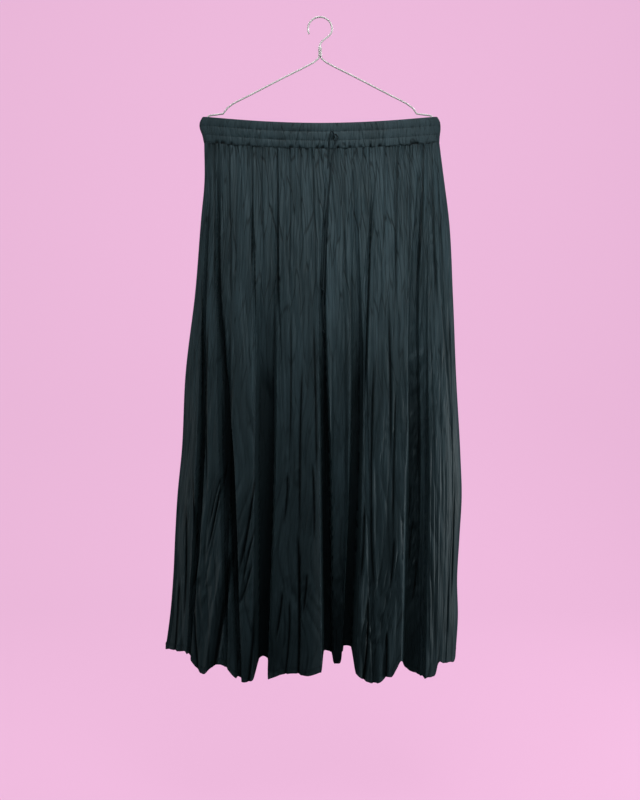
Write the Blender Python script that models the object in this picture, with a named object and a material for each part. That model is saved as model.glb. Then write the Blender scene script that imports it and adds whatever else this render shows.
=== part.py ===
"""Crinkle maxi skirt hanging by its elastic waistband on a slim coated wire hanger.

Metres, +Z up. The origin is the inside top of the hanger's hook, where a rail carries it.
The skirt's front faces -Y, and +X is to the right of someone who looks at the front.
Every height in the tables is a drop in millimetres below the origin.
"""

import math
from collections import namedtuple

import bmesh
import bpy
import numpy as np

MM = 0.001
SEAM_GAP = 0.3
SHARP_EDGE = math.radians(50)

# The cloth and its four named levels, from the waist seam to the hem
CLOTH_THICKNESS = 1.2
SEAM_DROP = 217.0
HEM_DROP = 1086.0
LEVELS = (SEAM_DROP, 480.0, 752.0, HEM_DROP)
PANEL_ROWS = (217.0, 245.0, 290.0, 350.0, 430.0, 520.0, 620.0, 720.0, 820.0, 920.0, 1010.0, 1070.0, 1086.0)
SEAM_COLUMNS = 5
SHARPEST_MITRE = 0.5

# A fold's side takes this share of its half width, and its floor the rest
FOLD_SIDE_SHARE = 0.65

# Gathers stand out in full where the mesh columns are this far apart, and no two neighbours are quite alike
GATHER_PITCH = 8.0
GATHER_UNEVENNESS = 0.3
GATHER_TURN_PER_COLUMN = 2.3
GATHER_TURN_PER_MM = 0.006

# The elastic casing: its top edge sags between the hanger's ends
BAND_TOP_DROP = 169.0
BAND_SAG = 13.0
BAND_SAG_HALF_WIDTH = 200.0
BAND_HEIGHT = 43.5
BAND_WALL = 2.4
BAND_HALF_DEPTH = 10.5
BAND_COLUMNS = 48
BAND_GATHER = 0.45

# The plan of the skirt and the band is a rounded oval of this power
PLAN_POWER = 2.6

# Coated wire hanger
WIRE = 3.0
HANGER_HALF_WIDTH = 202.3
BAR_DROP = 197.0
NECK_TOP_DROP = 50.0
NECK_LENGTH = 17.0
NECK_DIAMETER = 6.4
HOOK_INNER_DIAMETER = 38.0
HOOK_TURN = 204
HOOK_STEP = 12
ROUND_STEPS = 2

# Drawstring
CORD = 2.8
KNOT_WIDTH = 5.6
KNOT_LENGTH = 7.5
KNOT_SEGMENTS = 10
KNOT_RINGS = 8

# The silhouette and the depth of the ridges in front and behind, and the free gap kept between the panels
Outline = namedtuple("Outline", "drop left right front back gap")
OUTLINE = (
    Outline(217, 197.0, 203.0, 10.0, 10.0, 4.2),
    Outline(280, 196.5, 211.0, 18.0, 18.0, 5.0),
    Outline(344, 202.0, 219.0, 24.0, 24.0, 5.5),
    Outline(480, 212.5, 226.0, 34.0, 34.0, 6.5),
    Outline(616, 228.0, 231.0, 46.0, 46.0, 7.5),
    Outline(752, 234.5, 238.0, 58.0, 58.0, 9.0),
    Outline(820, 241.0, 240.0, 64.0, 64.0, 9.5),
    Outline(890, 245.0, 236.0, 70.0, 70.0, 10.5),
    Outline(960, 248.0, 232.0, 76.0, 76.0, 11.0),
    Outline(1025, 253.0, 233.0, 81.0, 81.0, 11.5),
    Outline(1086, 261.0, 229.0, 85.0, 85.0, 12.0),
)

# A fold runs from the waist seam to the hem. Its columns hold its place, half width and depth at the four LEVELS,
# how far it lifts the hem, and its share of the mesh: columns across it and columns on the cloth to its left.
Fold = namedtuple("Fold", "name centre half_width depth lift across before")
FRONT_FOLDS = (
    Fold("left_side", (-184, -194, -197, -214), (3, 4, 7, 4), (3, 12, 34, 12), 0, 4, 5),
    Fold("left_knee", (-170, -169, -149, -130), (3, 7, 9, 4.5), (4, 28, 46, 16), 0, 4, 4),
    Fold("left_deep", (-118, -105, -90, -96), (3, 6, 14, 11), (4, 18, 58, 74), 9, 6, 6),
    Fold("left_crease", (-73, -70, -57, -47), (2.5, 4, 5, 4), (3, 8, 6, 4), 0, 2, 4),
    Fold("centre_deep", (15, 4, 9, 13), (6, 10, 10, 11), (5, 22, 50, 72), 9, 6, 9),
    Fold("right_deep", (52, 55, 54, 45), (3, 6, 10, 12), (4, 18, 54, 74), 17, 6, 4),
    Fold("right_crease", (94, 77, 77, 87), (2.5, 4, 4, 4), (3, 12, 4, 3), 0, 2, 4),
    Fold("right_knee", (172, 158, 146, 135), (3, 7, 7, 5), (5, 28, 52, 42), 3, 4, 8),
    Fold("right_inner", (184, 176, 174, 165), (2.5, 4, 6, 5), (2, 8, 36, 30), 0, 4, 2),
    Fold("right_side", (194, 205, 218, 203), (2, 4, 5, 4), (1, 5, 8, 8), 0, 2, 5),
)
BACK_FOLDS = (
    Fold("left_side", (-182, -190, -206, -222), (3, 5, 6, 6), (3, 10, 22, 20), 2, 4, 5),
    Fold("left_deep", (-150, -142, -152, -160), (3, 7, 11, 12), (4, 22, 48, 66), 10, 6, 5),
    Fold("left_crease", (-104, -98, -108, -112), (2.5, 4, 4, 4), (3, 8, 7, 4), 0, 2, 5),
    Fold("left_knee", (-66, -60, -72, -64), (3, 6, 10, 10), (4, 16, 46, 60), 8, 6, 5),
    Fold("centre_crease", (-22, -12, -20, -14), (2.5, 4, 5, 5), (3, 9, 12, 8), 0, 2, 5),
    Fold("centre_deep", (30, 38, 26, 32), (3, 7, 12, 12), (4, 22, 56, 72), 12, 6, 6),
    Fold("right_crease", (84, 90, 74, 82), (2.5, 4, 4, 4), (3, 10, 6, 4), 0, 2, 5),
    Fold("right_deep", (128, 132, 122, 118), (3, 8, 11, 11), (4, 24, 52, 68), 9, 6, 5),
    Fold("right_side", (178, 190, 196, 184), (3, 5, 8, 7), (3, 12, 34, 30), 4, 4, 6),
)
# Cloth between two folds that lies further back than its neighbours
Recess = namedtuple("Recess", "name centre half_width depth")
FRONT_RECESSES = (
    Recess("beside_cord", (34, 31, 32, 29), (14, 16, 15, 14), (0, 2, 14, 40)),
    Recess("right_pleat", (178, 167, 160, 150), (8, 12, 20, 20), (0, 6, 24, 30)),
    Recess("left_seam", (-190, -205, -225, -240), (8, 12, 20, 26), (0, 2, 8, 18)),
)
BACK_RECESSES = (
    Recess("left_pleat", (-124, -120, -130, -136), (12, 16, 16, 16), (0, 2, 10, 18)),
    Recess("right_pleat", (154, 160, 158, 150), (12, 16, 18, 18), (0, 2, 12, 20)),
)
# The hem's line between the folds
Hem = namedtuple("Hem", "x drop")
FRONT_HEM = (
    Hem(-261, 1072), Hem(-218, 1073), Hem(-188, 1091), Hem(-169, 1079), Hem(-131, 1100), Hem(-85, 1095),
    Hem(-5, 1087), Hem(21, 1082), Hem(79, 1098), Hem(125, 1081), Hem(165, 1095), Hem(204, 1076), Hem(229, 1068),
)
BACK_HEM = (
    Hem(-261, 1072), Hem(-200, 1088), Hem(-130, 1080), Hem(-90, 1094), Hem(-20, 1086), Hem(60, 1096),
    Hem(150, 1082), Hem(200, 1084), Hem(229, 1068),
)
# The gathers stand out most just under the waist seam and flatten into the crinkle lower down
Gather = namedtuple("Gather", "drop height")
GATHERS = (Gather(217, 0.9), Gather(245, 1.7), Gather(350, 1.5), Gather(620, 1.5), Gather(1086, 1.8))

# The casing's profile from its top edge down: three padded channels between rows of stitching
Channel = namedtuple("Channel", "down left right bulge")
CHANNELS = (
    Channel(0.0, 199.5, 199.5, 0.0),
    Channel(7.5, 203.8, 203.8, 1.4),
    Channel(15.0, 205.0, 205.0, 0.2),
    Channel(22.5, 203.5, 205.0, 1.5),
    Channel(30.0, 200.5, 204.0, 0.2),
    Channel(37.0, 198.8, 203.4, 1.5),
    Channel(43.5, 197.4, 203.1, 0.2),
)

# Routes of the two free ends of the drawstring, from the buttonhole in the band to just above the knots
CORD_LEFT = (
    (24.0, -12.4, -208.0), (24.0, -14.4, -207.6), (22.8, -16.2, -201.5), (19.6, -16.6, -198.6), (17.0, -16.2, -203.0),
    (16.0, -15.2, -212.0), (15.2, -13.8, -226.0), (13.8, -13.0, -250.0), (11.6, -13.6, -276.0), (8.4, -16.6, -308.0),
    (4.8, -21.4, -344.0), (2.6, -23.8, -380.0), (1.8, -24.4, -415.0), (2.6, -24.4, -450.0), (4.8, -25.2, -490.0),
    (7.6, -27.4, -532.0),
)
CORD_RIGHT = (
    (28.5, -12.4, -208.0), (28.4, -14.4, -208.6), (27.0, -16.2, -213.0), (24.4, -16.0, -222.0), (21.6, -15.8, -236.0),
    (19.0, -17.2, -256.0), (16.8, -18.9, -284.0), (13.6, -19.8, -318.0), (10.4, -21.4, -356.0), (8.6, -23.6, -390.0),
    (7.4, -26.2, -424.0), (5.0, -29.4, -462.0),
)
# The wire of one arm, as (distance from the middle, drop): down from the neck, over the strap notch, round the end
ARM = (
    (1.8, 68.4), (3.0, 71.2), (12.0, 76.5), (60.0, 101.0), (120.0, 132.0), (150.0, 147.6), (156.5, 152.0),
    (161.0, 159.0), (166.0, 164.2), (173.0, 165.0), (181.0, 164.4), (188.5, 166.6), (195.0, 171.6), (199.6, 178.4),
    (200.8, 185.0), (199.4, 191.0), (195.4, 195.4), (189.6, 197.0), (184.0, 197.0),
)
# The hook's wire from the neck up to where its round bend begins, as (x, drop)
SHANK = ((0.0, 49.7), (0.0, 46.0), (2.2, 41.5), (8.6, 35.8), (15.4, 30.6), (19.4, 25.0))


def clear_scene():
    for thing in list(bpy.data.objects):
        bpy.data.objects.remove(thing)


def material(name, colour, roughness, metallic=0.0):
    made = bpy.data.materials.new(name)
    made.use_nodes = True
    shader = made.node_tree.nodes["Principled BSDF"]
    shader.inputs["Base Color"].default_value = (*colour, 1.0)
    shader.inputs["Roughness"].default_value = roughness
    shader.inputs["Metallic"].default_value = metallic
    return made


def smooth_between(knots, values, at):
    """Values at the places `at` on a smooth curve through the knots, which may be unevenly spaced."""
    knots, values, at = np.asarray(knots, float), np.asarray(values, float), np.asarray(at, float)
    slopes = np.gradient(values, knots)
    at = np.clip(at, knots[0], knots[-1])
    left = np.clip(np.searchsorted(knots, at, side="right") - 1, 0, len(knots) - 2)
    span = knots[left + 1] - knots[left]
    t = (at - knots[left]) / span
    start, end = values[left], values[left + 1]
    rise = (2 * t**3 - 3 * t**2 + 1) * start + (3 * t**2 - 2 * t**3) * end
    turn = (t**3 - 2 * t**2 + t) * span * slopes[left] + (t**3 - t**2) * span * slopes[left + 1]
    return rise + turn


def column(table, name):
    return [getattr(row, name) for row in table]


def fold_shape(distance):
    """1 on the floor of a fold, and 0 from one half width out."""
    t = np.clip((1.0 - np.abs(distance)) / FOLD_SIDE_SHARE, 0.0, 1.0)
    return t * t * (3 - 2 * t)


def oval(x, left, right, depth):
    """How far a rounded oval of these half widths and this half depth stands out at x."""
    reach = np.where(x < 0, left, right)
    inside = np.clip(1.0 - np.abs(x / reach) ** PLAN_POWER, 0.0, 1.0)
    return depth * inside ** (1.0 / PLAN_POWER)


def plan_stations(folds, drop, left, right):
    """The x of each mesh column at this drop, and whether the column lies on the cloth between the folds."""
    xs, between, edge = [-left], [False], -left
    for number, fold in enumerate(folds):
        centre = float(smooth_between(LEVELS, fold.centre, drop))
        half = float(smooth_between(LEVELS, fold.half_width, drop))
        for step in range(1, fold.before + 1):
            share = step / fold.before
            if number == 0:
                share = share**2
            xs.append(edge + share * (centre - half - edge))
            between.append(step < fold.before)
        for step in range(1, fold.across + 1):
            xs.append(centre - half + 2 * half * step / fold.across)
            between.append(False)
        edge = centre + half
    for step in range(1, SEAM_COLUMNS + 1):
        xs.append(edge + (1.0 - (1.0 - step / SEAM_COLUMNS) ** 2) * (right - edge))
        between.append(step < SEAM_COLUMNS)
    return np.array(xs), np.array(between)


def gather_heights(x, drop):
    """How far each mesh column stands out as a gather, or in between two of them, on cloth between folds."""
    height = float(smooth_between(column(GATHERS, "drop"), column(GATHERS, "height"), drop))
    number = np.arange(len(x))
    wave = np.sin(GATHER_TURN_PER_COLUMN * number + GATHER_TURN_PER_MM * drop)
    uneven = 1.0 - GATHER_UNEVENNESS + GATHER_UNEVENNESS * wave
    room = np.clip(np.gradient(x) / GATHER_PITCH, 0.0, 1.0)
    return np.where(number % 2 == 0, 1.0, -1.0) * uneven * room**2 * height


def panel_points(folds, recesses, hem, side):
    """Grid of the middle of a panel's cloth in mm, rows from the waist seam down. side is -1 in front and 1 behind."""
    rows = []
    for drop in PANEL_ROWS:
        left, right, depth, gap = (
            float(smooth_between(column(OUTLINE, "drop"), column(OUTLINE, name), drop))
            for name in ("left", "right", "front" if side < 0 else "back", "gap")
        )
        x, between = plan_stations(folds, drop, left, right)
        ridge = oval(x, left, right, depth)
        sunk, lift = np.zeros_like(x), np.zeros_like(x)
        for fold in (*folds, *recesses):
            centre, half, deep = (
                float(smooth_between(LEVELS, getattr(fold, name), drop)) for name in ("centre", "half_width", "depth")
            )
            share = fold_shape((x - centre) / half)
            sunk = np.maximum(sunk, max(deep, 0.0) * share)
            lift = np.maximum(lift, getattr(fold, "lift", 0.0) * share)
        depth_here = ridge - sunk + np.where(between, gather_heights(x, drop), 0.0)
        depth_here = np.maximum(depth_here, np.minimum(gap, ridge))
        share_down = (drop - SEAM_DROP) / (HEM_DROP - SEAM_DROP)
        top = BAND_TOP_DROP + band_sag(x) + BAND_HEIGHT + SEAM_GAP
        bottom = np.interp(x, column(hem, "x"), column(hem, "drop")) - lift
        z = -(top + share_down * (bottom - top))
        rows.append(np.stack([x, side * (SEAM_GAP / 2 + depth_here), z], axis=1))
    return np.array(rows)


def band_sag(x):
    return BAND_SAG * (1.0 - np.clip(np.abs(x) / BAND_SAG_HALF_WIDTH, 0.0, 1.0) ** 2)


def outward(grid, side):
    """Level steps out of the garment that keep a wall's two faces parallel, and point sideways at the side seams."""
    run = np.diff(grid[..., :2], axis=1)
    square = np.stack([run[..., 1], -run[..., 0]], axis=2) * -side
    square /= np.linalg.norm(square, axis=2, keepdims=True)
    before, after = square[:, :-1], square[:, 1:]
    mean = before + after
    mean /= np.linalg.norm(mean, axis=2, keepdims=True)
    mitre = np.maximum(np.sum(mean * after, axis=2, keepdims=True), SHARPEST_MITRE)
    steps = np.zeros_like(grid)
    steps[:, 1:-1, :2] = mean / mitre
    steps[:, 0, 0], steps[:, -1, 0] = -1.0, 1.0
    return steps


def cloth_wall(name, outer, inner, finish):
    """One closed wall between two grids of points in mm: two faces of cloth and the rim that joins them."""
    rows, columns = outer.shape[:2]
    shape = bmesh.new()
    skins = [[[shape.verts.new(point * MM) for point in row] for row in grid] for grid in (outer, inner)]
    for skin, flip in zip(skins, (False, True)):
        for i in range(rows - 1):
            for j in range(columns - 1):
                corners = [skin[i][j], skin[i + 1][j], skin[i + 1][j + 1], skin[i][j + 1]]
                shape.faces.new(corners[::-1] if flip else corners)
    rim = [(i, 0) for i in range(rows)] + [(rows - 1, j) for j in range(1, columns)]
    rim += [(i, columns - 1) for i in range(rows - 2, -1, -1)] + [(0, j) for j in range(columns - 2, 0, -1)]
    for here, there in zip(rim, rim[1:] + rim[:1]):
        (a, b), (c, d) = here, there
        shape.faces.new([skins[0][c][d], skins[0][a][b], skins[1][a][b], skins[1][c][d]])
    bmesh.ops.triangulate(shape, faces=shape.faces[:])
    bmesh.ops.recalc_face_normals(shape, faces=shape.faces[:])
    mesh = bpy.data.meshes.new(name)
    shape.to_mesh(mesh)
    shape.free()
    mesh.materials.append(finish)
    mesh.shade_smooth()
    mesh.set_sharp_from_angle(angle=SHARP_EDGE)
    made = bpy.data.objects.new(name, mesh)
    bpy.context.scene.collection.objects.link(made)
    return made


def skirt_panel(name, folds, recesses, hem, side, finish):
    middle = panel_points(folds, recesses, hem, side)
    half_wall = outward(middle, side) * CLOTH_THICKNESS / 2
    return cloth_wall(name, middle + half_wall, middle - half_wall, finish)


def band_half(name, side, finish):
    """Half of the casing: channels and gathers raised on the outside, over a plain inside."""
    across = np.linspace(-math.pi / 2, math.pi / 2, BAND_COLUMNS + 1)
    ripple = BAND_GATHER * np.where(np.arange(BAND_COLUMNS + 1) % 2 == 0, 1.0, -1.0)
    ripple[[0, -1]] = 0.0
    way_x = np.sign(np.sin(across)) * np.abs(np.sin(across)) ** (2 / PLAN_POWER)
    way_y = np.abs(np.cos(across)) ** (2 / PLAN_POWER)
    outer, inner = [], []
    for channel in CHANNELS:
        reach = np.where(way_x < 0, channel.left, channel.right)
        edge_row = channel.down in (0.0, BAND_HEIGHT)
        out = BAND_HALF_DEPTH + channel.bulge + (0.0 if edge_row else 1.0) * ripple
        for skin, width, depth in (
            (outer, reach, out),
            (inner, reach - BAND_WALL, np.full_like(way_y, BAND_HALF_DEPTH - BAND_WALL)),
        ):
            x = width * way_x
            z = -(BAND_TOP_DROP + band_sag(x) + channel.down)
            skin.append(np.stack([x, side * (SEAM_GAP / 2 + depth * way_y), z], axis=1))
    return cloth_wall(name, np.array(outer), np.array(inner), finish)


def smooth_route(points, spacing):
    """Points about `spacing` apart on one smooth curve through the route's own points."""
    points = np.asarray(points, float)
    travelled = np.concatenate([[0.0], np.cumsum(np.linalg.norm(np.diff(points, axis=0), axis=1))])
    steps = max(2, round(travelled[-1] / spacing))
    at = np.linspace(0.0, travelled[-1], steps + 1)
    return np.stack([smooth_between(travelled, points[:, axis], at) for axis in range(3)], axis=1)


def tube(name, points, diameter, finish):
    """A round cord or wire along the points, in mm, with flat ends."""
    curve = bpy.data.curves.new(name, "CURVE")
    curve.dimensions = "3D"
    curve.bevel_depth = diameter / 2 * MM
    curve.bevel_resolution = ROUND_STEPS
    curve.use_fill_caps = True
    spline = curve.splines.new("POLY")
    spline.points.add(len(points) - 1)
    for point, place in zip(spline.points, points):
        point.co = (*(np.asarray(place) * MM), 1.0)
    curve.materials.append(finish)
    made = bpy.data.objects.new(name, curve)
    bpy.context.scene.collection.objects.link(made)
    return made


def ball(name, centre, width, length, finish):
    """A small upright egg, as a tight overhand knot has."""
    shape = bmesh.new()
    bmesh.ops.create_uvsphere(shape, u_segments=KNOT_SEGMENTS, v_segments=KNOT_RINGS, radius=0.5)
    for vert in shape.verts:
        vert.co.x *= width * MM
        vert.co.y *= width * MM
        vert.co.z *= length * MM
    mesh = bpy.data.meshes.new(name)
    shape.to_mesh(mesh)
    shape.free()
    mesh.materials.append(finish)
    mesh.shade_smooth()
    made = bpy.data.objects.new(name, mesh)
    made.location = [value * MM for value in centre]
    bpy.context.scene.collection.objects.link(made)
    return made


def drawstring_end(side_name, route, finish):
    points = smooth_route(route, spacing=3 * CORD)
    tube(f"drawstring_{side_name}", points, CORD, finish)
    below = points[-1] + np.array([0.0, 0.0, -(KNOT_LENGTH / 2 + SEAM_GAP)])
    ball(f"drawstring_knot_{side_name}", below, KNOT_WIDTH, KNOT_LENGTH, finish)


def hanger(finish):
    """Two arms over a straight bar, one twisted neck and an open hook, all in the plane through the origin."""
    widest = max(out for out, _ in ARM)
    scale = (HANGER_HALF_WIDTH - WIRE / 2) / widest
    for side_name, way in (("left", -scale), ("right", scale)):
        route = [(way * out, 0.0, -drop) for out, drop in ARM]
        tube(f"hanger_arm_{side_name}", smooth_route(route, spacing=4 * WIRE), WIRE, finish)
    arm_end = ARM[-1][0] * scale
    bar_end = arm_end - SEAM_GAP
    tube("hanger_bar", [(-bar_end, 0.0, -BAR_DROP), (bar_end, 0.0, -BAR_DROP)], WIRE, finish)
    neck = [(0.0, 0.0, -NECK_TOP_DROP - NECK_LENGTH), (0.0, 0.0, -NECK_TOP_DROP)]
    tube("hanger_neck", neck, NECK_DIAMETER, finish)
    inner = HOOK_INNER_DIAMETER / 2
    ring = inner + WIRE / 2
    bend = [math.radians(angle) for angle in range(0, HOOK_TURN + 1, HOOK_STEP)]
    route = [(x, 0.0, -drop) for x, drop in SHANK]
    route += [(ring * math.cos(turn), 0.0, ring * math.sin(turn) - inner) for turn in bend]
    tube("hanger_hook", smooth_route(route, spacing=1.6 * WIRE), WIRE, finish)


def build():
    clear_scene()
    cloth = material("crinkle_cloth", (0.030, 0.045, 0.052), 0.55)
    casing = material("casing_cloth", (0.032, 0.047, 0.054), 0.60)
    cord = material("cord_cloth", (0.026, 0.040, 0.046), 0.65)
    coated_wire = material("coated_wire", (0.82, 0.82, 0.80), 0.35)
    skirt_panel("front_panel", FRONT_FOLDS, FRONT_RECESSES, FRONT_HEM, -1, cloth)
    skirt_panel("back_panel", BACK_FOLDS, BACK_RECESSES, BACK_HEM, 1, cloth)
    band_half("waistband_front", -1, casing)
    band_half("waistband_back", 1, casing)
    drawstring_end("left", CORD_LEFT, cord)
    drawstring_end("right", CORD_RIGHT, cord)
    hanger(coated_wire)


build()
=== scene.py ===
import math
from collections import namedtuple

import bpy
import numpy as np
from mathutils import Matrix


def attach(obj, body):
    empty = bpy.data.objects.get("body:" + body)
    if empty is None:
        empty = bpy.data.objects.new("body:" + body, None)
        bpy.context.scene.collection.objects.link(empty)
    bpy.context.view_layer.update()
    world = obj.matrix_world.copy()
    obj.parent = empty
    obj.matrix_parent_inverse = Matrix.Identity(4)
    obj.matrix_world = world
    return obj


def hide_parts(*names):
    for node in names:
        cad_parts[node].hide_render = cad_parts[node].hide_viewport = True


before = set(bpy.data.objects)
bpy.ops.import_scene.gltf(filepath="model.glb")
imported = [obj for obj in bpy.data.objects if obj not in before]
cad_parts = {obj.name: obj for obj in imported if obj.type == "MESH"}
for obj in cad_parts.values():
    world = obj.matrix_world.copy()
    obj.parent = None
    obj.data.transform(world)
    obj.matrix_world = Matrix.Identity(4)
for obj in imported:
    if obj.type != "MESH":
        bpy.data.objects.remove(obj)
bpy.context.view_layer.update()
bpy.context.scene.view_settings.view_transform = "Standard"


# The camera stands level with the middle of the skirt, 1.3 m in front of it, and looks straight at it.
# Its lens takes in the whole skirt with the pale room around it.
CAMERA_DISTANCE = 1.300
CAMERA_HEIGHT = -0.650
CAMERA_LENS_MM = 34.4
bpy.ops.object.select_all(action="DESELECT")
bpy.ops.object.camera_add(
    location=(0.0, -CAMERA_DISTANCE, CAMERA_HEIGHT), rotation=(math.radians(90), 0.0, 0.0)
)
camera = bpy.context.object
camera.data.sensor_width = 36.0
camera.data.lens = CAMERA_LENS_MM
bpy.context.scene.camera = camera


# The drawstring: one thin cord of the skirt's own cloth, twisted round, that runs in the waistband.
# Its two free ends come out of a buttonhole in front and hang down the cloth, each with an overhand knot.
# Routes are in millimetres, and their heights are drops below the hook.
MM = 0.001
CORD_DIAMETER = 2.8
CORD_STRANDS = 3
CORD_STRAND_GROOVE = 0.28
CORD_TWIST_PITCH = 9.0
CORD_RING_SPACING = 1.3
CORD_SIDES = 18
CORD_LEFT = (
    (24.0, -12.4, -208.0), (24.0, -14.4, -207.6), (22.8, -16.2, -201.5), (19.6, -16.6, -198.6),
    (17.0, -16.2, -203.0), (16.0, -15.2, -212.0), (15.2, -13.8, -226.0), (13.8, -13.0, -250.0),
    (11.6, -13.6, -276.0), (8.4, -16.6, -308.0), (4.8, -21.4, -344.0), (2.6, -23.8, -380.0),
    (1.8, -24.4, -415.0), (2.6, -24.4, -450.0), (4.8, -25.2, -490.0), (7.6, -27.4, -532.0),
)
CORD_RIGHT = (
    (28.5, -12.4, -208.0), (28.4, -14.4, -208.6), (27.0, -16.2, -213.0), (24.4, -16.0, -222.0),
    (21.6, -15.8, -236.0), (19.0, -17.2, -256.0), (16.8, -18.9, -284.0), (13.6, -19.8, -318.0),
    (10.4, -21.4, -356.0), (8.6, -23.6, -390.0), (7.4, -26.2, -424.0), (5.0, -29.4, -462.0),
)
KNOT_DROP = 4.05
KNOT_LOOP_WIDTH = 0.72
KNOT_LOOP_HEIGHT = 1.35
KNOT_LOOP_DEPTH = 1.2
KNOT_LOOP_SQUEEZE = 0.72
KNOT_LOOP_POINTS = 97
KNOT_SIDES = 12
KNOT_CORD_DIAMETER = 2.1
KNOT_TAIL = 7.0


def linear(hex_colour):
    """The colour that a shader needs for an sRGB hex value."""
    shares = [int(hex_colour[place:place + 2], 16) / 255 for place in (1, 3, 5)]
    return (*(((s + 0.055) / 1.055) ** 2.4 if s > 0.04045 else s / 12.92 for s in shares), 1.0)


def add_node(finish, kind, sockets, **settings):
    """Adds a node to a material, sets its options, and gives its sockets their values or links."""
    node = finish.node_tree.nodes.new(kind)
    for option, value in settings.items():
        setattr(node, option, value)
    for socket, value in sockets.items():
        if isinstance(value, bpy.types.NodeSocket):
            finish.node_tree.links.new(value, node.inputs[socket])
        else:
            node.inputs[socket].default_value = value
    return node


def fresh_grid(name, across, down):
    """A flat square of faces with its own UV map, and each corner's share of the way across and down it."""
    bpy.ops.object.select_all(action="DESELECT")
    bpy.ops.mesh.primitive_grid_add(x_subdivisions=across, y_subdivisions=down, size=1.0)
    made = bpy.context.object
    made.name = made.data.name = name
    places = np.empty(len(made.data.vertices) * 3, np.float32)
    made.data.vertices.foreach_get("co", places)
    places = places.reshape(-1, 3).astype(float)
    return made, places[:, 0] + 0.5, 0.5 - places[:, 1]


def place_corners(made, points_mm):
    """Moves a mesh's corners to these places, given in millimetres."""
    made.data.vertices.foreach_set("co", (np.asarray(points_mm) * MM).astype(np.float32).ravel())
    made.data.update()


def smooth_between(knots, values, at):
    """Values at the places `at` on a smooth curve through the knots, which may be unevenly spaced."""
    knots, values, at = np.asarray(knots, float), np.asarray(values, float), np.asarray(at, float)
    slopes = np.gradient(values, knots)
    at = np.clip(at, knots[0], knots[-1])
    left = np.clip(np.searchsorted(knots, at, side="right") - 1, 0, len(knots) - 2)
    span = knots[left + 1] - knots[left]
    t = (at - knots[left]) / span
    rise = (2 * t**3 - 3 * t**2 + 1) * values[left] + (3 * t**2 - 2 * t**3) * values[left + 1]
    turn = (t**3 - 2 * t**2 + t) * slopes[left] + (t**3 - t**2) * slopes[left + 1]
    return rise + span * turn


def smooth_route(points, spacing):
    """Points about `spacing` apart on one smooth curve through a route's own points."""
    points = np.asarray(points, float)
    travelled = np.concatenate([[0.0], np.cumsum(np.linalg.norm(np.diff(points, axis=0), axis=1))])
    at = np.linspace(0.0, travelled[-1], max(3, round(travelled[-1] / spacing)) + 1)
    return np.stack([smooth_between(travelled, points[:, axis], at) for axis in range(3)], axis=1)


MERGE_WITHIN = 0.000002


def finish_closed(made, angle=60.0):
    """Merges a mesh's meeting edges, closes its ends and turns its faces outwards."""
    bpy.ops.object.select_all(action="DESELECT")
    made.select_set(True)
    bpy.context.view_layer.objects.active = made
    bpy.ops.object.mode_set(mode="EDIT")
    bpy.ops.mesh.select_all(action="SELECT")
    bpy.ops.mesh.remove_doubles(threshold=MERGE_WITHIN)
    bpy.ops.mesh.fill_holes(sides=0)
    bpy.ops.mesh.normals_make_consistent(inside=False)
    bpy.ops.object.mode_set(mode="OBJECT")
    bpy.ops.object.shade_smooth_by_angle(angle=math.radians(angle))


def round_along(name, path, radius, sides, strands=0, groove=0.0, pitch=1.0):
    """A round cord or wire along a path in mm. With strands, its surface winds as twisted ones do."""
    path = np.asarray(path, float)
    rings = len(path) - 1
    made, along, around = fresh_grid(name, rings, sides)
    ring = np.rint(along * rings).astype(int)
    ways = np.gradient(path, axis=0)
    ways /= np.linalg.norm(ways, axis=1, keepdims=True)
    side = np.cross(ways[0], (0.0, 0.0, 1.0) if abs(ways[0][2]) < 0.9 else (1.0, 0.0, 0.0))
    firsts = []
    for way in ways:
        side = side - way * (side @ way)
        side = side / np.linalg.norm(side)
        firsts.append(side)
    firsts = np.array(firsts)
    seconds = np.cross(ways, firsts)
    travelled = np.concatenate([[0.0], np.cumsum(np.linalg.norm(np.diff(path, axis=0), axis=1))])
    turn = 2 * math.pi * np.mod(np.rint(around * sides), sides) / sides
    wave = np.abs(np.sin(strands * (turn - 2 * math.pi * travelled[ring] / pitch) / 2)) if strands else 1.0
    reach = (radius - groove + groove * wave) * np.ones_like(turn)
    points = path[ring] + reach[:, None] * (
        np.cos(turn)[:, None] * firsts[ring] + np.sin(turn)[:, None] * seconds[ring]
    )
    place_corners(made, points)
    finish_closed(made)
    return made


# Twisted viscose cord: matt, with a random mottle and a painted highlight where its fibres stand up, which
# gives the eye soft yarn.
# Its twist is in the mesh.
cord_cloth = bpy.data.materials.new("twisted_viscose_cord")
cord_cloth.use_nodes = True
cord_shader = cord_cloth.node_tree.nodes["Principled BSDF"]
for socket, value in (
    ("Roughness", 0.62), ("Specular IOR Level", 0.2), ("Specular Tint", linear("#cfe4ea")),
    ("Sheen Weight", 0.08), ("Sheen Tint", linear("#8fb8c4")), ("Sheen Roughness", 0.45),
):
    cord_shader.inputs[socket].default_value = value
cord_place = add_node(cord_cloth, "ShaderNodeTexCoord", {})
cord_fibre = add_node(
    cord_cloth, "ShaderNodeTexNoise", {"Vector": cord_place.outputs["Object"], "Scale": 1400.0, "Detail": 3.0}
)
cord_mottle_and_highlight = add_node(cord_cloth, "ShaderNodeValToRGB", {"Fac": cord_fibre.outputs["Fac"]})
cord_mottle_and_highlight.color_ramp.elements[0].color = linear("#121b1f")
cord_mottle_and_highlight.color_ramp.elements[1].color = linear("#222f34")
cord_bump = add_node(
    cord_cloth, "ShaderNodeBump", {"Height": cord_fibre.outputs["Fac"], "Strength": 0.35, "Distance": 0.0003}
)
cord_cloth.node_tree.links.new(cord_mottle_and_highlight.outputs["Color"], cord_shader.inputs["Base Color"])
cord_cloth.node_tree.links.new(cord_bump.outputs["Normal"], cord_shader.inputs["Normal"])

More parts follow.
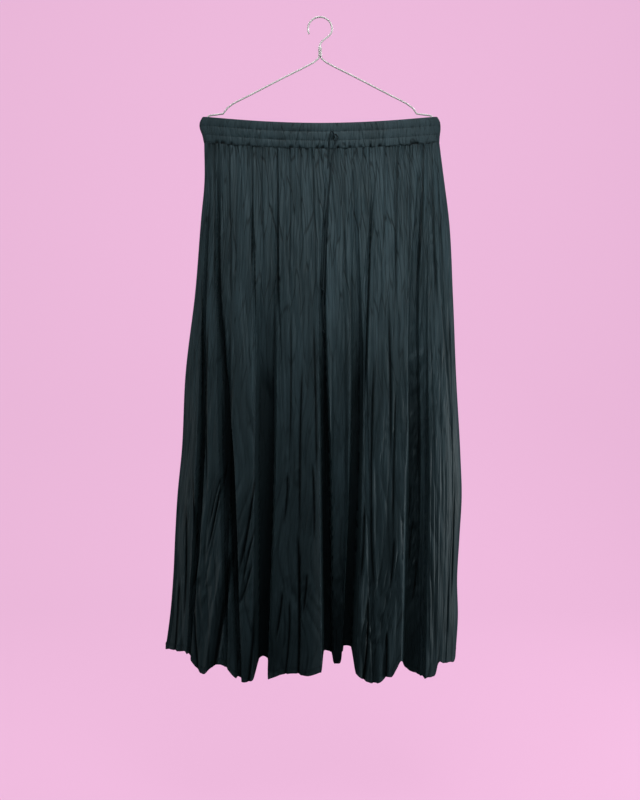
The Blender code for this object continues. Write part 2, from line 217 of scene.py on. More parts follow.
for side_name, route, length in (("left", CORD_LEFT, 0.35), ("right", CORD_RIGHT, 0.26)):
    path = smooth_route(route, CORD_RING_SPACING)
    cord = round_along(
        f"tie_{side_name}", path, CORD_DIAMETER / 2, CORD_SIDES, CORD_STRANDS, CORD_STRAND_GROOVE,
        CORD_TWIST_PITCH,
    )
    cord.data.materials.append(cord_cloth)
    turns = np.linspace(0.0, 2 * math.pi, KNOT_LOOP_POINTS)
    knot_centre = path[-1] + np.array([0.0, 0.0, -KNOT_DROP])
    loop = np.stack([
        KNOT_LOOP_WIDTH * (np.sin(turns) + 2 * np.sin(2 * turns)),
        KNOT_LOOP_WIDTH * np.sin(3 * turns) * KNOT_LOOP_DEPTH,
        KNOT_LOOP_HEIGHT * (np.cos(turns) - 2 * np.cos(2 * turns)) * KNOT_LOOP_SQUEEZE,
    ], axis=1) + knot_centre
    knot = round_along(f"tie_knot_{side_name}", loop, KNOT_CORD_DIAMETER / 2, KNOT_SIDES)
    tail_top = knot_centre + np.array([0.6, 0.0, -1.5])
    tail_path = smooth_route((tail_top, tail_top + (0.5, 0.1, -3.0), tail_top + (1.4, 0.3, -KNOT_TAIL)), 1.0)
    tail = round_along(
        f"tie_tail_{side_name}", tail_path, CORD_DIAMETER / 2, CORD_SIDES, CORD_STRANDS, CORD_STRAND_GROOVE,
        CORD_TWIST_PITCH,
    )
    for piece in (knot, tail):
        piece.data.materials.append(cord_cloth)
    for piece in (cord, knot, tail):
        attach(piece, "root")
    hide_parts(f"drawstring_{side_name}")
    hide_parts(f"drawstring_knot_{side_name}")


# The skirt's front and back: one cut each of fine viscose cloth, crinkled lengthwise in a press, gathered
# into the waist seam and joined at the two sides, with a narrow hem turned and sewn.
# Widths and depths are millimetres, and heights are drops below the hook.
CLOTH_THICKNESS = 0.4
SEAM_DROP = 217.0
HEM_DROP = 1086.0
SEAM_GAP = 0.3
LEVELS = (217.0, 480.0, 752.0, 1086.0)
PLAN_POWER = 2.6
FOLD_SIDE_SHARE = 0.45
BAND_TOP_DROP = 169.0
BAND_SAG = 13.0
BAND_SAG_HALF_WIDTH = 200.0
BAND_HEIGHT = 43.5
HEM_TURN = 10.0

Outline = namedtuple("Outline", "drop left right front back gap")
OUTLINE = (
    Outline(217, 197.0, 203.0, 10.0, 10.0, 4.2),
    Outline(280, 196.5, 211.0, 18.0, 18.0, 5.0),
    Outline(344, 202.0, 219.0, 24.0, 24.0, 5.5),
    Outline(480, 212.5, 226.0, 34.0, 34.0, 6.5),
    Outline(616, 228.0, 231.0, 46.0, 46.0, 7.5),
    Outline(752, 234.5, 238.0, 58.0, 58.0, 9.0),
    Outline(820, 241.0, 240.0, 64.0, 64.0, 9.5),
    Outline(890, 245.0, 236.0, 70.0, 70.0, 10.5),
    Outline(960, 248.0, 232.0, 76.0, 76.0, 11.0),
    Outline(1025, 253.0, 233.0, 81.0, 81.0, 11.5),
    Outline(1086, 261.0, 229.0, 85.0, 85.0, 12.0),
)
# A fold's place, half width and depth at the four LEVELS, and how far it lifts the hem
Fold = namedtuple("Fold", "centre half_width depth lift")
FRONT_FOLDS = (
    Fold((-184, -194, -197, -214), (3, 4, 7, 4), (1, 12, 34, 12), 0),
    Fold((-170, -169, -149, -130), (3, 5, 9, 4.5), (1.4, 22, 46, 16), 0),
    Fold((-160, -160, -157, -150), (2, 14, 9, 2), (0, 0, 40, 4), 0),
    Fold((-118, -109, -106, -106), (3, 3, 3, 3), (1.4, 7, 4, 2), 0),
    Fold((-95, -90, -90, -95), (14, 19, 18, 12), (0, 9, 58, 74), 9),
    Fold((-73, -70, -57, -47), (2.5, 4, 5, 4), (1, 8, 6, 4), 0),
    Fold((15, 4, 9, 13), (4, 6, 10, 11), (1.8, 18, 50, 72), 9),
    Fold((55, 60, 58, 45), (3, 9, 11, 12), (1.4, 12, 54, 74), 17),
    Fold((94, 77, 77, 87), (2.5, 3, 4, 4), (1, 7, 4, 3), 0),
    Fold((172, 157, 158, 150), (3, 10, 14.5, 12), (1.8, 20, 36, 24), 3),
    Fold((184, 176, 174, 165), (2.5, 4, 5, 4), (0.7, 5, 22, 20), 0),
    Fold((194, 205, 218, 203), (2, 3, 3, 4), (0.3, 2, 1.2, 1.5), 0),
    Fold((34, 31, 32, 29), (14, 16, 15, 14), (0, 2, 14, 40), 0),
    Fold((178, 167, 160, 150), (8, 12, 20, 20), (0, 6, 24, 30), 0),
    Fold((-190, -205, -225, -240), (8, 12, 20, 26), (0, 2, 8, 18), 0),
    Fold((-40, -36, -34, -38), (44, 44, 42, 44), (0, 3, 10, 12), 0),
)
BACK_FOLDS = (
    Fold((-182, -190, -206, -222), (3, 5, 6, 6), (1, 10, 22, 20), 2),
    Fold((-150, -142, -152, -160), (3, 7, 11, 12), (1.4, 22, 48, 66), 10),
    Fold((-104, -98, -108, -112), (2.5, 4, 4, 4), (1, 8, 7, 4), 0),
    Fold((-66, -60, -72, -64), (3, 6, 10, 10), (1.4, 16, 46, 60), 8),
    Fold((-22, -12, -20, -14), (2.5, 4, 5, 5), (1, 9, 12, 8), 0),
    Fold((30, 38, 26, 32), (3, 7, 12, 12), (1.4, 22, 56, 72), 12),
    Fold((84, 90, 74, 82), (2.5, 4, 4, 4), (1, 10, 6, 4), 0),
    Fold((128, 132, 122, 118), (3, 8, 11, 11), (1.4, 24, 52, 68), 9),
    Fold((178, 190, 196, 184), (3, 5, 8, 7), (1, 12, 34, 30), 4),
    Fold((-124, -120, -130, -136), (12, 16, 16, 16), (0, 2, 10, 18), 0),
    Fold((154, 160, 158, 150), (12, 16, 18, 18), (0, 2, 12, 20), 0),
)
# Broad pleats turned to one side: each stands out this much further at its right edge, and less at its left
Turn = namedtuple("Turn", "centre half_width lean")
FRONT_TURNS = (
    Turn((-40, -36, -34, -38), (42, 42, 42, 44), (0, 4, 9, 11)),
    Turn((94, 92, 94, 90), (38, 38, 42, 44), (0, -1, -2, -3)),
)
BACK_TURNS = (
    Turn((-20, -12, -22, -16), (34, 36, 36, 36), (0, 3, 6, 8)),
    Turn((78, 84, 74, 76), (36, 36, 36, 34), (0, -3, -6, -8)),
)
# The hem's line between the folds, as (x, drop)
FRONT_HEM = (
    (-261, 1070), (-234, 1067), (-214, 1067), (-206, 1076), (-188, 1090), (-174, 1080), (-162, 1074),
    (-148, 1081), (-136, 1094), (-122, 1101), (-108, 1098), (-96, 1090), (-84, 1096), (-60, 1093),
    (-38, 1089), (-21, 1092), (-8, 1087), (2, 1080), (22, 1083), (54, 1083), (66, 1093), (82, 1101),
    (98, 1099), (108, 1092), (115, 1092), (123, 1080), (131, 1069), (138, 1086), (145, 1096), (152, 1100),
    (165, 1101), (174, 1098), (181, 1098), (188, 1094), (192, 1080), (202, 1080), (213, 1081), (224, 1082),
    (229, 1076),
)
BACK_HEM = (
    (-261, 1072), (-200, 1088), (-130, 1080), (-90, 1094), (-20, 1086), (60, 1096), (150, 1082), (200, 1084),
    (229, 1068),
)
# Each crease runs from its top to its bottom place, bowed sideways in between: a trough where its depth is
# above zero and a ridge where it is below
Crease = namedtuple("Crease", "x_top drop_top x_bottom drop_bottom bow width depth")
FRONT_CREASES = (
    Crease(-180, 217, -176, 534, 1, 1.9, 3.4), Crease(-172, 217, -167, 534, -2, 1.6, 2.8),
    Crease(-155, 217, -149, 534, 2, 1.7, 2.6), Crease(-138, 236, -140, 450, -2, 1.4, 2.0),
    Crease(-115, 217, -116, 484, 2, 1.7, 3.0), Crease(-98, 217, -95, 399, -1, 1.4, 2.2),
    Crease(-72, 217, -71, 534, 1, 1.4, 4.0), Crease(-51, 217, -53, 484, 2, 1.6, 2.4),
    Crease(-34, 217, -28, 399, -2, 1.4, 2.2), Crease(-14, 217, -8, 484, 2, 1.6, 2.4),
    Crease(42, 217, 45, 484, -3, 1.4, 2.8), Crease(54, 230, 60, 450, 1, 1.4, 2.2),
    Crease(87, 270, 71, 690, 1, 1.5, 3.8), Crease(110, 217, 105, 416, 1, 1.4, 2.4),
    Crease(132, 217, 126, 534, -2, 1.7, 3.0), Crease(152, 217, 146, 484, 2, 1.4, 2.4),
    Crease(175, 217, 160, 484, 3, 1.9, 4.2), Crease(190, 240, 199, 534, -3, 1.7, 3.2),
    Crease(199, 240, 211, 484, -2, 1.4, 2.6), Crease(-200, 430, -200, 731, 2, 1.9, 2.8),
    Crease(-187, 500, -184, 844, -3, 1.7, 3.0), Crease(-162, 480, -162, 764, 3, 1.7, 2.6),
    Crease(-144, 600, -148, 876, -3, 1.9, 3.0), Crease(-50, 480, -52, 780, 3, 1.7, 2.6),
    Crease(-28, 560, -32, 907, -3, 1.9, 3.0), Crease(-12, 500, -6, 812, 2, 1.7, 2.8),
    Crease(70, 500, 65, 780, 2, 1.7, 2.6), Crease(90, 560, 84, 907, -3, 1.7, 3.0),
    Crease(113, 480, 114, 780, 3, 1.9, 2.8), Crease(126, 620, 119, 907, -2, 1.6, 2.8),
    Crease(182, 500, 187, 844, 3, 1.4, 1.3), Crease(202, 520, 203, 907, -3, 1.4, 1.3),
    Crease(215, 480, 219, 780, 2, 1.4, 1.2), Crease(-153, 740, -188, 915, 3, 1.7, 4.0),
    Crease(-159, 775, -182, 865, -2, 1.4, 2.8), Crease(-151, 880, -186, 1100, -2, 4.3, -4.0),
    Crease(-142, 885, -171, 1100, 2, 3.2, 4.2), Crease(-105, 760, -135, 935, 3, 1.9, 3.8),
    Crease(-102, 840, -127, 950, -3, 1.7, 3.0), Crease(-111, 905, -133, 975, 2, 1.7, 3.0),
    Crease(-104, 965, -116, 1100, 2, 2.2, 3.6), Crease(-54, 760, -61, 855, 3, 1.7, 3.0),
    Crease(-37, 850, -35, 1100, 3, 1.9, 4.2), Crease(-30, 870, -30, 1060, -3, 1.4, 2.8),
    Crease(-13, 740, -10, 890, 2, 1.7, 3.4), Crease(-21, 920, -30, 1000, 2, 1.7, 3.2),
    Crease(-61, 950, -73, 1035, 2, 1.9, 3.2), Crease(-50, 960, -56, 1090, 3, 1.7, 3.0),
    Crease(77, 945, 68, 1100, 3, 2, 3.8), Crease(106, 1010, 104, 1100, 2, 1.6, 3.4),
    Crease(84, 805, 90, 960, -3, 1.9, 3.2), Crease(72, 800, 62, 960, 3, 1.9, 3.0),
    Crease(206, 740, 202, 970, 2, 1.4, 1.4), Crease(-212, 780, -206, 930, 2, 1.9, 3.4),
    Crease(-224, 830, -226, 1050, 3, 1.9, 3.2), Crease(-198, 890, -213, 985, 2, 1.9, 3.6),
    Crease(-236, 960, -243, 1100, 2, 2.2, 3.0), Crease(-205, 960, -196, 1100, -2, 2.2, 3.0),
    Crease(178, 740, 174, 1010, 2, 1.2, 1.2), Crease(185, 700, 183, 1040, -3, 1.2, 1.3),
    Crease(192, 760, 189, 1060, 2, 1.2, 1.2), Crease(210, 820, 208, 1080, 2, 1.4, 1.3),
    Crease(222, 800, 214, 1030, 1, 1.5, 3.4), Crease(152, 780, 144, 860, 2, 1.7, 3.4),
    Crease(158, 830, 147, 930, -2, 1.7, 3.6), Crease(162, 900, 150, 985, 2, 1.9, 3.6),
    Crease(166, 700, 158, 800, 2, 1.6, 3.0), Crease(120, 870, 111, 960, 2, 1.9, 2.8),
    Crease(182, 690, 178, 900, 1, 1.3, -1.6), Crease(188, 750, 186, 985, -1, 1.2, -1.8),
    Crease(194, 820, 190, 1030, 1, 1.2, -2.0), Crease(200, 700, 197, 860, -1, 1.3, -1.5),
    Crease(180, 930, 176, 1050, 1, 1.2, -1.8), Crease(206, 900, 204, 1060, 1, 1.3, -1.5),
    Crease(-205, 850, -200, 1010, 1, 1.5, -1.6), Crease(-214, 880, -219, 1060, 1, 1.5, -1.5),
)
BACK_CREASES = (
    Crease(-190, 217, -186, 470, 2, 1.7, 3.0), Crease(-172, 217, -168, 520, -2, 1.6, 2.8),
    Crease(-160, 230, -164, 440, 2, 1.4, 2.2), Crease(-136, 217, -132, 500, 3, 1.7, 3.2),
    Crease(-118, 217, -121, 380, -2, 1.4, 2.4), Crease(-92, 217, -88, 540, 2, 1.6, 3.4),
    Crease(-78, 240, -80, 420, -1, 1.4, 2.2), Crease(-50, 217, -46, 490, 2, 1.6, 2.8),
    Crease(-34, 217, -38, 390, -2, 1.4, 2.4), Crease(-6, 217, -2, 530, 3, 1.6, 3.2),
    Crease(12, 230, 9, 430, -2, 1.4, 2.4), Crease(48, 217, 54, 500, 2, 1.6, 2.8),
    Crease(66, 217, 63, 400, -1, 1.4, 2.4), Crease(102, 217, 106, 520, 2, 1.7, 3.4),
    Crease(116, 230, 112, 420, -2, 1.4, 2.4), Crease(146, 217, 150, 490, 2, 1.6, 2.8),
    Crease(162, 217, 168, 540, -2, 1.6, 3.2), Crease(190, 240, 198, 500, 3, 1.7, 2.8),
    Crease(-176, 500, -181, 800, 3, 1.7, 3.0), Crease(-128, 540, -124, 860, -3, 1.9, 3.2),
    Crease(-96, 520, -90, 790, 3, 1.7, 2.8), Crease(-46, 560, -40, 900, -3, 1.9, 3.4),
    Crease(-6, 520, 0, 780, 3, 1.7, 2.8), Crease(54, 500, 58, 840, -3, 1.7, 3.2),
    Crease(100, 560, 94, 890, 3, 1.9, 3.0), Crease(154, 520, 160, 800, -2, 1.7, 2.8),
    Crease(182, 560, 178, 900, 3, 1.7, 3.2), Crease(212, 480, 220, 800, 2, 1.7, 2.8),
    Crease(-190, 780, -206, 940, 3, 1.7, 3.8), Crease(-134, 820, -112, 990, -3, 1.9, 3.8),
    Crease(-96, 860, -108, 1090, 3, 3.6, -3.6), Crease(-90, 870, -98, 1090, 2, 2.6, 4.0),
    Crease(-42, 800, -24, 960, -3, 1.7, 3.4), Crease(-30, 930, -38, 1090, 2, 1.9, 3.6),
    Crease(6, 850, -4, 1090, 3, 1.9, 3.8), Crease(56, 800, 72, 960, -3, 1.9, 3.6),
    Crease(84, 900, 76, 1090, 2, 2.2, 3.8), Crease(96, 780, 104, 900, 2, 1.7, 3.0),
    Crease(138, 840, 150, 1000, -2, 1.9, 3.6), Crease(162, 900, 156, 1090, 2, 1.9, 3.4),
    Crease(206, 820, 200, 1060, 3, 1.7, 3.2), Crease(-236, 900, -244, 1090, 2, 2.2, 3.2),
)
# Places where the cloth is crumpled every way, as after sitting in a bag
Crumple = namedtuple("Crumple", "x drop half_width half_height height")
FRONT_CRUMPLES = (
    Crumple(-142, 446, 14, 22, 1.6), Crumple(-50, 426, 26, 12, 1.3), Crumple(108, 424, 18, 16, 1.6),
    Crumple(192, 376, 14, 30, 1.8), Crumple(104, 950, 26, 46, 2.0), Crumple(-36, 950, 34, 40, 1.8),
    Crumple(154, 900, 16, 100, 3.4), Crumple(-190, 940, 24, 60, 1.8), Crumple(-120, 920, 22, 70, 1.8),
    Crumple(160, 640, 12, 110, 4.0), Crumple(84, 1010, 24, 30, 1.8), Crumple(34, 980, 12, 80, 2.0),
    Crumple(-50, 760, 26, 40, 1.2), Crumple(104, 700, 22, 40, 1.2), Crumple(196, 640, 18, 60, 1.5),
)
BACK_CRUMPLES = (
    Crumple(-110, 440, 20, 24, 1.6), Crumple(40, 470, 18, 20, 1.4), Crumple(140, 400, 16, 26, 1.6),
    Crumple(-40, 660, 22, 40, 1.4), Crumple(100, 700, 22, 44, 1.4), Crumple(-150, 900, 26, 60, 2.0),
    Crumple(-20, 950, 30, 60, 2.0), Crumple(90, 980, 26, 50, 2.0), Crumple(170, 900, 20, 70, 1.8),
    Crumple(-90, 1010, 22, 34, 1.8),
)
# Places where the cloth hangs smoother, and the share of its creases that has fallen out
Calm = namedtuple("Calm", "x drop half_width half_height share")
FRONT_CALM = (Calm(205, 840, 26, 260, 0.6),)
# The press leaves soft ribs and, between them, nets of long thin facets, all lengthwise.
# A rib has a pitch across, a length and a height in mm. A facet has two heights, at the waist and at the hem,
# and the share of painted shade that its upright creases get at both.
RIBS = ((26.0, 360.0, 2.0), (13.0, 220.0, 1.2))
RIB_SHARPNESS = 0.12
FACETS = (
    (9.0, 120.0, 1.7, 1.0, (0.45, 0.15)),
    (17.0, 105.0, 0.6, 3.4, (0.0, 0.6)),
    (4.6, 60.0, 0.8, 0.3, (0.3, 0.0)),
)
FACET_WANDER = 0.5
FACET_FLAT = 0.7
# Painted shade lies within this share of a cell from a facet's upright crease
FACET_SHADE_WIDTH = 0.2
UPRIGHT_FROM = 0.6
UPRIGHT_OVER = 0.35
RELIEF_MIDDLE = 0.4
TEXTURE_LIMIT = 1.6
# A crease's two ends fade over these shares of its length, and a low lip runs beside it
CREASE_START_SHARE = 0.2
CREASE_END_SHARE = 0.35
CREASE_POWER = 1.5
CREASE_LIP = 0.4
CREASE_LIP_PLACE = 1.9
# A crease this deep in mm gets full painted shade
CREASE_FULL_SHADE_DEPTH = 2.4
CREASE_AT_WAIST = 0.5
CREASE_FULL_DROP = 640.0
# Painted shade in a fold past this depth, rising over this many mm to this share, and in gathers by the seam
FOLD_SHADE_FROM = 22.0
FOLD_SHADE_OVER = 14.0
FOLD_PAINTED_SHADE = 0.7
GATHER_PAINTED_SHADE = 0.75
GATHER_SHADE_LENGTH = 26.0
FOLD_START = 200.0
FOLD_START_ABOVE = 30.0
TURN_REACH = 1.1
TURN_FADE = 0.2
LEAN_WIDTH = 90.0
LEAN_LENGTH = 150.0
LEAN = 30.0
GATHER_PITCH = 4.6
GATHER_LENGTH = 45.0
GATHER_HEIGHT = 1.8
GATHER_SHARPNESS = 0.05
GATHER_MIDDLE = 0.5
GATHER_TIGHT = 0.22
CRUMPLE_PITCH = 8.0
CRUMPLE_LENGTH = 16.0
CRUMPLE_SLANT = 26.0
SEAM_LIFT = 0.9
SEAM_LIFT_LENGTH = 12.0
SEAM_STIFF_SHARE = 0.03
HEM_ROWS = 3
HEM_RISE = 0.5
HEM_RISE_LENGTH = 1.5
# Mesh rows lie further apart lower down, and columns lie closer together towards the sides
ROW_SPREAD = 1.12
SIDE_CROWDING = 0.4
SMOOTH_ANGLE = math.radians(70)
THREAD_DIAMETER = 0.4
# A stitch's length and the gap to the next one
HEM_STITCH = (2.8, 0.5)
CASING_STITCH = (2.6, 0.5)


def unevenness(seed, across, down):
    """Smooth chance values from -1 to 1, about one bump to each unit both ways, the same at each run."""
    across, down = np.asarray(across, float), np.asarray(down, float)
    left, top = np.floor(across).astype(int), np.floor(down).astype(int)
    dice = np.random.default_rng(seed)
    table = dice.uniform(-1.0, 1.0, (top.max() - top.min() + 2, left.max() - left.min() + 2))
    row, column = top - top.min(), left - left.min()
    s, t = across - left, down - top
    s, t = s * s * (3 - 2 * s), t * t * (3 - 2 * t)
    upper = table[row, column] * (1 - s) + table[row, column + 1] * s
    lower = table[row + 1, column] * (1 - s) + table[row + 1, column + 1] * s
    return upper * (1 - t) + lower * t


def soft_step(value):
    """0 below 0, 1 above 1, and a smooth rise between."""
    value = np.clip(value, 0.0, 1.0)
    return value * value * (3 - 2 * value)


def pressed(seed, x, drop, pitch, length, sharpness):
    """0 in a pressed crease, rising to about 1 on the rounded cloth between two creases."""
    wander = 0.9 * unevenness(seed + 1, x / (4 * pitch), drop / (0.8 * length))
    chance = unevenness(seed, x / pitch + wander, drop / length)
    chance = chance + 0.5 * unevenness(seed + 2, 2 * x / pitch + wander, 2 * drop / length)
    return np.sqrt(chance**2 + sharpness**2) - sharpness


def facets(seed, across, down):
    """0 on the creases of a net of uneven cells, one to each unit both ways, and up to about 1 inside them.
    Also how upright the nearest crease is, from 0 to 1."""
    column, row = np.floor(across).astype(int), np.floor(down).astype(int)
    first_column, first_row = column.min() - 1, row.min() - 1
    dice = np.random.default_rng(seed)
    size = (row.max() - first_row + 2, column.max() - first_column + 2)
    middles = dice.uniform(0.1, 0.9, (*size, 2))
    nearest, nearest_side, nearest_down = (np.full(across.shape, 9.0) for part in range(3))
    second, second_side, second_down = (np.full(across.shape, 9.0) for part in range(3))
    for down_step in (-1, 0, 1):
        for side_step in (-1, 0, 1):
            middle = middles[row + down_step - first_row, column + side_step - first_column]
            side = column + side_step + middle[:, 0] - across
            below = row + down_step + middle[:, 1] - down
            away = np.hypot(side, below)
            first, next_one = away < nearest, away < second
            second_side = np.where(first, nearest_side, np.where(next_one, side, second_side))
            second_down = np.where(first, nearest_down, np.where(next_one, below, second_down))
            second = np.where(first, nearest, np.where(next_one, away, second))
            nearest_side = np.where(first, side, nearest_side)
            nearest_down = np.where(first, below, nearest_down)
            nearest = np.minimum(nearest, away)
    side, below = second_side - nearest_side, second_down - nearest_down
    return second - nearest, np.abs(side) / np.hypot(side, below)


def crease_depths(x, drop, creases):
    """How far the listed creases sink the cloth, in mm."""
    sunk = np.zeros_like(x)
    for crease in creases:
        along = (drop - crease.drop_top) / (crease.drop_bottom - crease.drop_top)
        middle = crease.x_top + along * (crease.x_bottom - crease.x_top)
        middle = middle + crease.bow * 4 * along * (1 - along)
        start = 1.0 if crease.drop_top <= SEAM_DROP else soft_step(along / CREASE_START_SHARE)
        end = 1.0 if crease.drop_bottom >= HEM_DROP else soft_step((1.0 - along) / CREASE_END_SHARE)
        away = (x - middle) / crease.width
        lip = CREASE_LIP * np.exp(-((away - CREASE_LIP_PLACE) ** 2))
        profile = np.exp(-np.abs(away) ** CREASE_POWER) - lip
        sunk += crease.depth * start * end * (along > 0) * (along < 1) * profile
    return sunk


def patch(place, x, drop):
    """1 in the middle of a patch of cloth, and less and less past its half width and half height."""
    across, down = (x - place.x) / place.half_width, (drop - place.drop) / place.half_height
    return np.exp(-(across**2) - down**2)


def paint_crease_shade(made, painted_shade):
    """Writes the painted shade of the crease or fold that each corner lies in, which darkens the material's
    colour.
    """
    painted_crease_shade = made.data.attributes.new(name="painted_crease_shade", type="FLOAT", domain="POINT")
    painted_crease_shade.data.foreach_set("value", np.clip(painted_shade, 0.0, 1.0).astype(np.float32))


def band_sag(x):
    """How far the waistband hangs down between its two ends."""
    return BAND_SAG * (1.0 - np.clip(np.abs(x) / BAND_SAG_HALF_WIDTH, 0.0, 1.0) ** 2)


def oval(x, left, right, depth):
    """How far a rounded oval of these half widths and this half depth stands out at x."""
    reach = np.where(x < 0, left, right)
    return depth * np.clip(1.0 - np.abs(x / reach) ** PLAN_POWER, 0.0, 1.0) ** (1 / PLAN_POWER)


def sewn_line(name, along, side, stitch, gap):
    """A row of machine stitches along points in mm. Each dips into the cloth at its two ends."""
    travelled = np.concatenate([[0.0], np.cumsum(np.linalg.norm(np.diff(along, axis=0), axis=1))])
    starts = np.arange(gap, travelled[-1] - stitch, stitch + gap)
    shares = np.array([0.0, 0.1, 0.35, 0.65, 0.9, 1.0])
    at = (starts[:, None] + shares * stitch).ravel()
    lift = np.tile([-0.6, -0.1, 0.12, 0.12, -0.1, -0.6], len(starts))
    line = np.stack([np.interp(at, travelled, along[:, axis]) for axis in range(3)], axis=1)
    run = np.gradient(line[:, :2], axis=0)
    out = np.stack([run[:, 1], -run[:, 0]], axis=1) / np.linalg.norm(run, axis=1, keepdims=True)
    out *= side * np.sign(np.median(out[:, 1]))
    line[:, :2] += out * lift[:, None]
    made = round_along(name, line, THREAD_DIAMETER / 2, 5)
    made.data.materials.append(thread)
    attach(made, "root")
    return made


def crinkled_panel(name, side, folds, turns, hem, creases, crumples, calm, seed, columns, rows):
    """One panel of crinkled cloth. side is -1 for the front and 1 for the back."""
    made, across, down = fresh_grid(name, columns, rows)
    row = down * rows
    share_down = np.minimum(row / (rows - HEM_ROWS), 1.0) ** ROW_SPREAD
    turned = np.clip(row - (rows - HEM_ROWS), 0.0, None) / HEM_ROWS
    drop = SEAM_DROP + share_down * (HEM_DROP - SEAM_DROP)
    level = {
        part: smooth_between([line.drop for line in OUTLINE], [getattr(line, part) for line in OUTLINE], drop)
        for part in ("left", "right", "front", "back", "gap")
    }
    way = 2 * across - 1
    way = -side * ((1.0 - SIDE_CROWDING) * way + SIDE_CROWDING * np.sin(way * math.pi / 2))
    x = np.where(way < 0, way * level["left"], way * level["right"])
    x = x + 0.5 * (level["right"] - level["left"]) * (1 - way**2)
    ridge = oval(x, level["left"], level["right"], level["front" if side < 0 else "back"])
    sunk, lift = np.zeros_like(x), np.zeros_like(x)
    for fold in folds:
        centre, half, deep = (
            smooth_between(LEVELS, getattr(fold, part), drop) for part in ("centre", "half_width", "depth")
        )
        floor = soft_step((1.0 - np.abs(x - centre) / half) / FOLD_SIDE_SHARE)
        deep = np.maximum(deep, 0.0) * soft_step((drop - SEAM_DROP + FOLD_START_ABOVE) / FOLD_START)
        sunk = np.maximum(sunk, deep * floor)
        lift = np.maximum(lift, fold.lift * floor)
    for turn in turns:
        centre, half, lean = (smooth_between(LEVELS, getattr(turn, part), drop) for part in Turn._fields)
        away = (x - centre) / half
        ridge = ridge + lean * away * soft_step((TURN_REACH - np.abs(away)) / TURN_FADE)
    # Away from the side seams the cloth is free to crinkle
    free = soft_step((1.0 - np.abs(way)) / SEAM_STIFF_SHARE)
    leaned = x + LEAN * share_down * unevenness(seed + 5, x / LEAN_WIDTH, drop / LEAN_LENGTH)
    texture = np.zeros_like(x)
    tightness = soft_step((drop - SEAM_DROP) / (CREASE_FULL_DROP - SEAM_DROP))
    creased = crease_depths(x, drop, creases) * (CREASE_AT_WAIST + (1.0 - CREASE_AT_WAIST) * tightness)
    # Painted shade: creases, deep folds, tight facet creases and seam gathers darken the colour by this share
    painted_shade = creased / CREASE_FULL_SHADE_DEPTH
    painted_shade = np.maximum(painted_shade, FOLD_PAINTED_SHADE * soft_step((sunk - FOLD_SHADE_FROM) / FOLD_SHADE_OVER))
    for number, (pitch, length, height) in enumerate(RIBS):
        ribs = pressed(seed + 10 * number, leaned, drop, pitch, length, RIB_SHARPNESS)
        texture += height * (ribs - RELIEF_MIDDLE)
    for number, (pitch, length, at_waist, at_hem, painted_shade_share) in enumerate(FACETS):
        bent = leaned + FACET_WANDER * pitch * unevenness(seed + 31 + number, x / (3 * pitch), drop / length)
        height = at_waist + (at_hem - at_waist) * share_down
        flat, upright = facets(seed + 20 + number, bent / pitch, drop / length)
        texture += height * (np.minimum(flat, FACET_FLAT) - RELIEF_MIDDLE)
        tight = soft_step((upright - UPRIGHT_FROM) / UPRIGHT_OVER) * (1.0 - soft_step(flat / FACET_SHADE_WIDTH))
        painted_shade = np.maximum(painted_shade, (painted_shade_share[0] + (painted_shade_share[1] - painted_shade_share[0]) * share_down) * tight)
    below_seam = drop - SEAM_DROP
    gathers = pressed(seed + 50, x, drop, GATHER_PITCH, 3 * GATHER_LENGTH, GATHER_SHARPNESS) - GATHER_MIDDLE
    texture += GATHER_HEIGHT * np.exp(-below_seam / GATHER_LENGTH) * gathers
    texture += SEAM_LIFT * np.exp(-((below_seam / SEAM_LIFT_LENGTH) ** 2))
    # Painted shade in the tight gathers just below the seam
    tight = 1.0 - soft_step((gathers + GATHER_MIDDLE) / GATHER_TIGHT)
    painted_shade = np.maximum(painted_shade, GATHER_PAINTED_SHADE * tight * np.exp(-below_seam / GATHER_SHADE_LENGTH))
    for crumple in crumples:
        slant = drop / CRUMPLE_LENGTH + x / CRUMPLE_SLANT
        bumps = np.sqrt(unevenness(seed + 70, x / CRUMPLE_PITCH + slant * 0.5, slant) ** 2 + 0.01)
        texture += 2.0 * crumple.height * patch(crumple, x, drop) * (bumps - RELIEF_MIDDLE)
    for place in calm:
        kept = 1.0 - place.share * patch(place, x, drop)
        texture, creased, painted_shade = texture * kept, creased * kept, painted_shade * kept
    depth_here = ridge - sunk + free * (np.minimum(texture, TEXTURE_LIMIT) - creased)
    depth_here = np.maximum(depth_here, np.minimum(level["gap"], ridge))
    hem_x, hem_drop = zip(*hem)
    top = BAND_TOP_DROP + band_sag(x) + BAND_HEIGHT + SEAM_GAP
    bottom = smooth_between(hem_x, hem_drop, x) - lift
    z = -(top + share_down * (bottom - top) - HEM_TURN * turned)
    from_hem = (1.0 - share_down) * (bottom - top)
    depth_here = depth_here + free * HEM_RISE * soft_step((HEM_TURN - from_hem) / HEM_RISE_LENGTH)
    depth_here = depth_here - free * CLOTH_THICKNESS * 2 * soft_step(3 * turned)
    # At the side seams the two panels' edges lie just across each other
    points = np.stack([x, side * (SEAM_GAP * (free - 0.5) + depth_here), z], axis=1)
    place_corners(made, points)
    paint_crease_shade(made, painted_shade * free)
    bpy.ops.object.shade_smooth_by_angle(angle=SMOOTH_ANGLE)
    return made, points.reshape(rows + 1, columns + 1, 3)


# Piece-dyed crinkle viscose, nearly black with green-blue in it: matt, with a soft light along each pressed
# rib. The finest pressed creases and the crepe grain are bump, and the fine creases get painted shade too.
# Shut creases and deep folds get painted shade that makes them nearly black. The grain is drawn coarser
# than the real 0.3 mm one, to show. Sizes of patterns are in mm.
PANEL_WIDTH = 490.0
PANEL_LENGTH = 870.0
CREASE_PITCH = 6.0
CREASE_LENGTH = 120.0
WANDER_SIZE = (60, 110)
WANDER_REACH = 14.0
DYE_SIZE = (30, 180)
DARKEST_PAINTED_SHADE = 0.12


